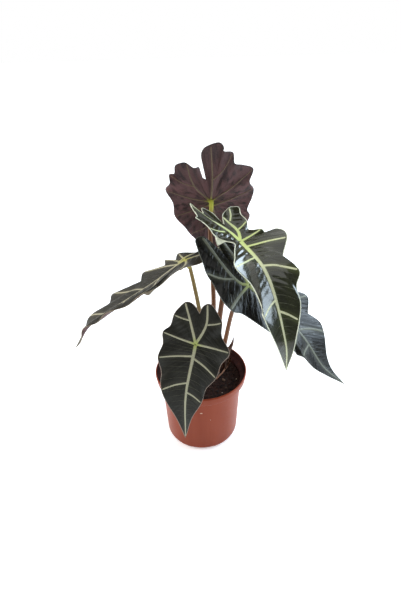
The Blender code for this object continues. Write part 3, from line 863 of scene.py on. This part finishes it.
    def drift(self, s, t):
        """Where a flat point lies across the arching fine veins, or round the stalk joint."""
        if self.shape["radial"]:
            turns = 10 * QUILT_PERIOD / (2 * math.pi)
            return np.stack([turns * np.abs(np.arctan2(t, s)), 0.25 * t, 0 * s], -1)
        return np.stack([s - QUILT_LEAN * np.abs(t), 0.25 * t, 0 * s], -1)

    def track(self, s):
        """Points of the midrib's curve."""
        return sampled(np.clip(s, self.along[0], self.along[-1]), self.along, self.rib)

    def at_joint(self):
        """The stalk joint, and the way the upper face looks there."""
        zero = np.zeros(1)
        low = self.surface(zero, zero)[0]
        high = self.surface(zero, zero, np.ones(1))[0]
        return low, high - low


def blade_skin(mesh, leaf):
    """The blade's middle surface, in rings from the stalk joint out to the margin."""
    count = len(leaf.edge)

    def place(u, v):
        k = np.rint(u * count).astype(int) % count
        s = leaf.edge[k, 0] * v
        t = leaf.edge[k, 1] * v
        near = np.exp(-((leaf.from_vein(s, t) / HALO) ** 2))
        heart = np.exp(-((np.hypot(s, t) / HEART) ** 2))
        values = {"near_vein": near, "heart": heart, "drift": leaf.drift(s, t)}
        return leaf.surface(s, t), values

    lay_grid(mesh, count, BLADE_RINGS, place, UPPER)
    bmesh.ops.remove_doubles(mesh, verts=mesh.verts, dist=WELD)
    upper = Vector(leaf.at_joint()[1])
    mesh.faces.ensure_lookup_table()
    mesh.normal_update()
    if sum(face.normal.dot(upper) for face in mesh.faces) < 0:
        bmesh.ops.reverse_faces(mesh, faces=mesh.faces)


def vein(mesh, leaf, path, widths, lift, height, slot, sides=6):
    """A low rounded rib that follows path over one side of the blade."""
    steps = max(int(strides(path).sum() / VEIN_STRIDE), 6)
    line = sampled(np.linspace(0, len(path) - 1, steps + 1), np.arange(len(path)), path)
    ahead = unit(np.gradient(line, axis=0))
    beside = np.stack([-ahead[:, 1], ahead[:, 0]], -1)

    def place(u, v):
        row = np.rint(v * steps).astype(int)
        width = widths[0] + (widths[1] - widths[0]) * v
        width = np.where((row == 0) | (row == steps), 0.0, width)
        angle = 2 * math.pi * u
        flat = line[row] + beside[row] * (0.5 * width * np.cos(angle))[:, None]
        rise = lift + height * np.minimum(width, 2.0) * np.sin(angle)
        heart = np.exp(-((np.hypot(flat[:, 0], flat[:, 1]) / leaf.shape["glow"]) ** 2))
        points = leaf.surface(flat[:, 0], flat[:, 1], rise)
        return points, {"near_vein": np.ones(len(u)), "heart": heart}

    made = lay_grid(mesh, sides, steps, place, slot)
    bmesh.ops.remove_doubles(mesh, verts=made, dist=WELD)


def bead(mesh, leaf):
    """The thin pale rim that runs round the whole margin."""
    line = leaf.edge[:, :2]
    radius = leaf.shape["rim"]
    count = len(line)
    ahead = unit(np.roll(line, -1, axis=0) - np.roll(line, 1, axis=0))
    outward = np.stack([-ahead[:, 1], ahead[:, 0]], -1)

    def place(u, v):
        k = np.rint(v * count).astype(int) % count
        angle = 2 * math.pi * u
        flat = line[k] + outward[k] * (radius * np.cos(angle))[:, None]
        points = leaf.surface(flat[:, 0], flat[:, 1], radius * np.sin(angle))
        return points, {"near_vein": np.ones(len(u)), "heart": np.zeros(len(u))}

    made = lay_grid(mesh, 6, count, place, RIM)
    bmesh.ops.remove_doubles(mesh, verts=made, dist=WELD)


def blade(name, leaf, looks):
    """One leaf blade with both its skins, its raised veins and its rim."""
    mesh = fresh_mesh("near_vein", "heart", vectors=("drift",))
    blade_skin(mesh, leaf)
    thin = mesh_object(name + "_thin", mesh, [None] * (RIM + 1))
    shell = thin.modifiers.new("thickness", "SOLIDIFY")
    shell.thickness = BLADE_THICKNESS
    shell.offset = 0.0
    shell.material_offset = UNDER
    shell.material_offset_rim = RIM
    mesh = bmesh.new()
    mesh.from_object(thin, bpy.context.evaluated_depsgraph_get())
    bpy.data.objects.remove(thin)
    half = BLADE_THICKNESS / 2
    for path, widths in leaf.veins:
        vein(mesh, leaf, path, widths, half - VEIN_OFFSET, RIB_RISE, RIBS)
        vein(mesh, leaf, path, widths, VEIN_OFFSET - half, UNDER_RIB_RISE, UNDER_RIBS)
    for path, widths in leaf.fine_veins:
        for lift in (half + VEIN_OFFSET, -VEIN_OFFSET - half):
            vein(mesh, leaf, path, widths, lift, HAIRLINE_RISE, HAIRLINES, 4)
    bead(mesh, leaf)
    piece(f"leaf_{name}", mesh, looks, "leaf", f"blade_{name}", weld=False)


def stalk(name, leaf, look):
    """A leaf stalk: a clasping base, a long taper and a swollen joint under the blade."""
    joint, upper = leaf.at_joint()
    shape = leaf.shape
    base = (*shape["stalk"][0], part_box(f"stalk_{name}")[0].z / MM - STALK_SINK)
    top = (joint - upper * STALK_BEND, joint - upper * STALK_STOP)
    route = smooth([base, *shape["stalk"][1:], *top], 20)
    far = np.concatenate([[0], np.cumsum(strides(route))])
    length = far[-1]
    path = sampled(np.linspace(0, length, STALK_RINGS + 1), far, route)
    low, high = shape["widths"]

    def radii(v, u):
        taper = low + (high - low) * v
        clasp = 1.1 * np.exp(-v * length / 14)
        swell = 0.5 * np.exp(-(1 - v) * length / 3.0)
        groove = 0.05 * np.cos(6 * math.pi * u)
        return taper + clasp + swell + groove

    mesh = bar(path, length, radii, STALK_SIDES, upper)
    slot = "olive_stalk" if name == "left" else "brown_stalk"
    piece(f"stem_{name}", mesh, [look], slot, f"stalk_{name}")


# ---------------------------------------------------------------- pot, soil and debris


def turned(profile, steps):
    """A bmesh of a profile of (radius, z) spun once round the Z axis."""
    mesh = bmesh.new()
    row = [mesh.verts.new((radius, 0, z)) for radius, z in profile]
    wires = [mesh.edges.new(pair) for pair in zip(row, row[1:])]
    bmesh.ops.spin(
        mesh,
        geom=row + wires,
        cent=(0, 0, 0),
        axis=(0, 0, 1),
        angle=2 * math.pi,
        steps=steps,
        use_merge=True,
    )
    bmesh.ops.remove_doubles(mesh, verts=mesh.verts, dist=WELD)
    return mesh


def cut_away(mesh, tool):
    """The mesh with the tool's volume cut out of it."""
    body = mesh_object("body", mesh)
    cutter = mesh_object("cutter", tool)
    cut = body.modifiers.new("cut", "BOOLEAN")
    cut.operation = "DIFFERENCE"
    cut.solver = "EXACT"
    cut.object = cutter
    mesh = bmesh.new()
    mesh.from_object(body, bpy.context.evaluated_depsgraph_get())
    for made in (body, cutter):
        bpy.data.objects.remove(made)
    return mesh


def rounded(corners):
    """A profile of (radius, z, rounding) corners, with each rounded one drawn as a short arc."""
    line = []
    for i, (x, z, r) in enumerate(corners):
        here = Vector((x, z))
        if not r or i in (0, len(corners) - 1):
            line.append((x, z))
            continue
        before = here + (Vector(corners[i - 1][:2]) - here).normalized() * r
        after = here + (Vector(corners[i + 1][:2]) - here).normalized() * r
        for k in range(5):
            f = k / 4
            point = before * (1 - f) ** 2 + here * 2 * f * (1 - f) + after * f**2
            line.append((point.x, point.y))
    return line


def nursery_pot(look):
    """The pot: feet, drained floor, flared wall and stepped rim with softened edges."""
    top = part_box("pot")[1].z / MM
    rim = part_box("pot")[1].x / MM
    band = top - RIM_BAND
    body = rim - RIM_STEP
    base = BASE_RADIUS
    profile = rounded(
        (
            (0, 0.5, 0),
            (8.5, 0.5, 0.3),
            (9.5, 0, 0.3),
            (10, 0, 0.3),
            (11, FLOOR_UNDERSIDE, 0.6),
            (43.0, FLOOR_UNDERSIDE, 0.5),
            (44.0, 0, 0.5),
            (47.2, 0, 1.0),
            (base, 4, 1.5),
            (body, band, 0.8),
            (rim - 1.4, band + 0.8, 0.8),
            (rim - 0.05, top - 1.2, 0.7),
            (rim - 0.5, top, 0.5),
            (rim - 1.7, top, 0.5),
            (rim - 2.9, band + 2.2, 0.8),
            (body - 1.2, band + 0.6, 0.6),
            (base - 1.2, 7, 1.5),
            (base - 3.2, FLOOR_TOP, 1.0),
            (0, FLOOR_TOP, 0),
        )
    )
    mesh = turned(profile, POT_STEPS)
    sector = 360 / FEET
    for vert in mesh.verts:
        radius = math.hypot(vert.co.x, vert.co.y)
        if vert.co.z < FLOOR_UNDERSIDE - 0.1 and 42 < radius < 50:
            turn = math.degrees(math.atan2(vert.co.y, vert.co.x)) + 90
            off = abs((turn + sector / 2) % sector - sector / 2)
            raised = 1 - ease((off - NOTCH_HALF_WIDTH) / NOTCH_SLOPE)
            vert.co.z = max(vert.co.z, float(raised) * NOTCH_HEIGHT)
    bmesh.ops.recalc_face_normals(mesh, faces=mesh.faces)
    drills = bmesh.new()
    for k in range(FEET):
        angle = 2 * math.pi * (k + 0.25) / FEET
        x, y = DRAIN_CIRCLE * math.cos(angle), DRAIN_CIRCLE * math.sin(angle)
        bmesh.ops.create_cone(
            drills,
            cap_ends=True,
            segments=32,
            radius1=DRAIN_RADIUS,
            radius2=DRAIN_RADIUS,
            depth=5.0,
            matrix=Matrix.Translation((x, y, (FLOOR_UNDERSIDE + FLOOR_TOP) / 2)),
        )
    mesh = cut_away(mesh, drills)
    inside = mesh.verts.layers.float.new("inside")
    for vert in mesh.verts:
        radius = math.hypot(vert.co.x, vert.co.y)
        wall = base + (body - base) * (vert.co.z - 4) / (band - 4) - 0.6
        limit = rim - 1.65 if vert.co.z > band - 0.1 else wall
        vert[inside] = float(vert.co.z > FLOOR_TOP - 0.2 and radius < limit)
    piece("nursery_pot", mesh, [look], "pot_plastic", "pot")


def root_ball(look):
    """The soil: a plain body below and a lumpy, slightly heaped surface."""
    low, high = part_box("soil")
    edge = high.x / MM - 0.1
    floor = low.z / MM
    crown = high.z / MM
    rings = np.linspace(edge, 0.0, SOIL_TOP_RINGS)
    profile = [(0, floor), (edge - 10.5, floor), (edge - 8.7, floor + 3.5), (edge, crown - 3)]
    profile += [(r, crown - SOIL_DROP * (r / edge) ** 2) for r in rings]
    mesh = turned(profile, SOIL_STEPS)
    for vert in mesh.verts:
        if vert.co.z > crown - SURFACE_DEPTH:
            near_edge = min((edge - math.hypot(vert.co.x, vert.co.y)) / 3, 1)
            lump = noise.fractal(vert.co * 0.16, 0.9, 2.1, 5)
            grit = noise.noise(vert.co * 0.9) + 0.6 * noise.noise(vert.co * 2.1)
            vert.co.z += near_edge * (0.9 * lump + 0.35 * grit) - 0.5
    piece("soil_ball", mesh, [look], "soil", "soil")


def crumbs(look):
    """Loose crumbs, bark chips and pale mineral grains on the soil."""
    chance = random.Random(7)
    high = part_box("soil")[1]
    edge = high.x / MM - 3
    mesh = fresh_mesh("shade")
    layer = mesh.verts.layers.float["shade"]
    for k in range(CRUMB_COUNT):
        angle = chance.uniform(0, 2 * math.pi)
        radius = edge * math.sqrt(chance.random())
        x, y = radius * math.cos(angle), radius * math.sin(angle)
        size = chance.uniform(0.5, 1.5) if k < CHIPS_FROM else chance.uniform(1.0, 2.4)
        shade = chance.uniform(0, 0.6)
        if k >= PALE_FROM:
            shade = chance.uniform(0.7, 0.85)
        if k >= GRAINS_FROM:
            shade = 1.0
            size = chance.uniform(0.5, 1.1)
        flat = 0.75 if k < CHIPS_FROM else 0.45
        height = high.z / MM - SOIL_DROP * (radius / edge) ** 2 - 0.2
        spin = Matrix.Rotation(chance.uniform(0, 6.3), 4, "Z")
        tilt = Matrix.Rotation(chance.uniform(-0.5, 0.5), 4, "X")
        made = bmesh.ops.create_icosphere(mesh, subdivisions=2 if size > 1 else 1, radius=size)
        for vert in made["verts"]:
            rough = 1 + 0.35 * noise.noise(vert.co * 1.1 / size + Vector((k, 0, 0)))
            x1, y1, z1 = vert.co
            vert.co = (x1 * rough * 1.25, y1 * rough, z1 * flat * rough)
            vert[layer] = shade
        place = Matrix.Translation((x, y, height)) @ spin @ tilt
        bmesh.ops.transform(mesh, matrix=place, verts=made["verts"])
    piece("soil_crumbs", mesh, [look], "soil")


def corm(look):
    """The swollen stem under the stalks, ringed by old leaf scars."""
    low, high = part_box("corm")
    middle = Vector(((low.x + high.x) / 2, (low.y + high.y) / 2, 0)) / MM
    bottom = low.z / MM
    top = high.z / MM
    profile = [(0, bottom), (6, bottom), (9, bottom), (12.8, bottom + 8)]
    for k in range(CORM_RINGS):
        f = k / (CORM_RINGS - 1)
        z = bottom + 8 + f * (top - bottom - 8.5)
        profile.append((14.0 - 1.6 * f * f + 0.25 * math.sin(f * 46), z))
    profile += [(11.5, top - 0.1), (6, top), (0, top)]
    mesh = turned(profile, CORM_STEPS)
    bmesh.ops.translate(mesh, vec=middle, verts=mesh.verts)
    piece("corm_top", mesh, [look], "corm_bark", "corm")


def dry_sheath(look):
    """A withered, rolled sheath that narrows to a thin spike."""
    path = smooth(SHEATH, 16)

    def radii(v, u):
        open_roll = 1 + 0.25 * np.cos(2 * math.pi * u) * (1 - v)
        return (2.6 * (1 - v**3) + 0.25) * open_roll * (1 + 0.12 * np.sin(9 * v + 8 * u))

    mesh = bar(path, strides(path).sum(), radii, 16)
    piece("withered_sheath", mesh, [look], "withered", "dry_sheath")


def dead_stalk(look):
    """A thin wrinkled stalk lying across the soil."""
    path = smooth(DEAD_STALK, 22)

    def radii(v, u):
        wrinkle = 1 + 0.14 * np.sin(31 * v + 5 * u) + 0.08 * np.cos(4 * math.pi * u)
        return (1.15 - 0.35 * v) * wrinkle

    mesh = bar(path, strides(path).sum(), radii, 12)
    piece("dead_stalk_dry", mesh, [look], "withered", "dead_stalk")


# ---------------------------------------------------------------- studio


def camera():
    tilt = math.radians(CAMERA_TILT)
    roll = math.radians(CAMERA_ROLL)
    ahead = Vector((0, math.cos(tilt), -math.sin(tilt)))
    level = Vector((1, 0, 0))
    above = level.cross(ahead)
    right = level * math.cos(roll) + above * math.sin(roll)
    up = above * math.cos(roll) - level * math.sin(roll)
    data = bpy.data.cameras.new("camera")
    data.sensor_fit = "VERTICAL"
    data.sensor_height = SENSOR
    data.lens = SENSOR * FOCAL_LENGTH
    data.clip_start = 0.01
    made = add_object("camera", data)
    turn = Matrix((right, up, -ahead)).transposed().to_4x4()
    made.matrix_world = Matrix.Translation(CAMERA_PLACE) @ turn
    bpy.context.scene.camera = made


def area_light(name, place, size, power, colour):
    """A rectangular light that faces LIGHT_AIM."""
    data = bpy.data.lights.new(name, "AREA")
    data.shape = "RECTANGLE"
    data.size, data.size_y = size
    data.energy = power
    data.color = colour
    made = add_object(name, data)
    made.location = place
    ahead = Vector(LIGHT_AIM) - Vector(place)
    made.rotation_euler = ahead.to_track_quat("-Z", "Y").to_euler()


def studio():
    """White sweep, faint sky, broad overhead light, cool window at right and panel at left."""
    scene = bpy.context.scene
    scene.view_settings.view_transform = "Standard"
    world = bpy.data.worlds.new("studio")
    world.use_nodes = True
    tree = world.node_tree
    sky = tree.nodes["Background"]
    sky.inputs["Color"].default_value = SKY_COLOUR
    sky.inputs["Strength"].default_value = SKY_LIGHT
    sweep = tree.nodes.new("ShaderNodeBackground")
    sweep.inputs["Color"].default_value = (1, 1, 1, 1)
    seen = tree.nodes.new("ShaderNodeLightPath")
    both = tree.nodes.new("ShaderNodeMixShader")
    tree.links.new(seen.outputs["Is Camera Ray"], both.inputs["Fac"])
    tree.links.new(sky.outputs["Background"], both.inputs[1])
    tree.links.new(sweep.outputs["Background"], both.inputs[2])
    tree.links.new(both.outputs["Shader"], tree.nodes["World Output"].inputs["Surface"])
    scene.world = world
    glow = {"Emission_Color": (1, 1, 1, 1), "Emission_Strength": FLOOR_GLOW}
    look = Look("floor_paper", Roughness=1.0, Specular_IOR_Level=0.0, **glow)
    grain = look.cloud(look.place(), 40.0, 2.0)
    paper = look.finish(look.mix(grain, (0.94, 0.94, 0.94), (0.96, 0.96, 0.96)))
    mesh = bmesh.new()
    bmesh.ops.create_grid(mesh, x_segments=4, y_segments=4, size=40)
    floor = mesh_object("floor", mesh, [paper])
    sun = bpy.data.lights.new("overhead", "SUN")
    sun.energy = OVERHEAD
    sun.angle = math.radians(OVERHEAD_WIDTH)
    tilt_x, tilt_y = OVERHEAD_TILT
    above = add_object("overhead", sun)
    above.rotation_euler = (math.radians(tilt_x), math.radians(tilt_y), 0)
    for name, panel in PANELS.items():
        area_light(name, *panel)


def main():
    camera()
    studio()
    maroon = leaf_under("maroon_underside", (0.010, 0.004, 0.005), (0.125, 0.058, 0.058))
    under_vein = vein_skin("underside_ribs", (0.16, 0.115, 0.07), (0.5, 0.5, 0.06), 0.5)
    olive = stalk_skin("olive_stem", (0.14, 0.09, 0.05), (0.24, 0.17, 0.055), (0.45, 0.42, 0.08))
    brown = stalk_skin("brown_stem", (0.175, 0.068, 0.03), (0.155, 0.07, 0.03), (0.52, 0.56, 0.06))
    for name, shape in LEAVES.items():
        leaf = Leaf(shape)
        pale, deep = RIB_LOOKS[name]
        hair = [c * HAIRLINE_TONE for c in pale], [c * HAIRLINE_HEART for c in deep]
        looks = [
            leaf_upper(f"upper_{name}", *UPPER_LOOKS[name]),
            maroon,
            vein_skin(f"rim_{name}", RIM_LOOKS[name], RIM_LOOKS[name], 0.5),
            vein_skin(f"ribs_{name}", pale, deep, 0.42),
            under_vein,
            vein_skin(f"hairlines_{name}", *hair, 0.5),
        ]
        blade(name, leaf, looks)
        stalk(name, leaf, olive if name == "left" else brown)
    nursery_pot(pot_plastic())
    root_ball(peat())
    crumbs(crumb_skin())
    corm(corm_bark())
    dry_sheath(withered("withered_tissue", (0.06, 0.028, 0.018), (0.2, 0.1, 0.06)))
    dead_stalk(withered("dead_fibre", (0.14, 0.05, 0.025), (0.36, 0.17, 0.09)))


main()
